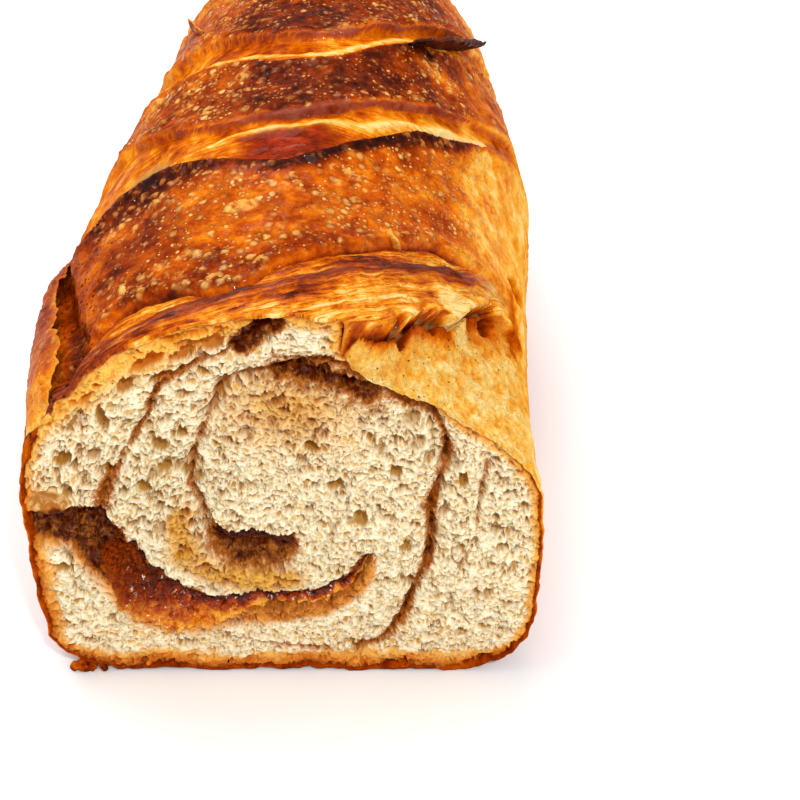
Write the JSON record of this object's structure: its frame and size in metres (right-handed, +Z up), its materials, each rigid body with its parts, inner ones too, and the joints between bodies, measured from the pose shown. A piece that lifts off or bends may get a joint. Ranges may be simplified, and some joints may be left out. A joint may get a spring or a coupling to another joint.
{
  "type": "cut cinnamon swirl sourdough loaf",
  "caption": "Tin loaf of cinnamon swirl sourdough, cut across at one end to show the rolled filling, with a scored, blistered brown crust.",
  "frame": {"origin": "middle of the bounding box in X and Y, at the flat base", "axes": "+Z up; Y along the loaf, with the cut face at -Y and the baked end at +Y; +X to the right seen from the cut face"},
  "size_m": [0.1132, 0.19, 0.1043],
  "materials": {
    "dough": "baked dough: matte open cream crumb inside, thin glossy amber to dark brown crust outside",
    "cinnamon_filling": "sticky red-brown cinnamon and sugar filling"
  },
  "bodies": {
    "root": {"dough": "dough", "cinnamon_filling": "cinnamon_filling"}
  },
  "joints": []
}
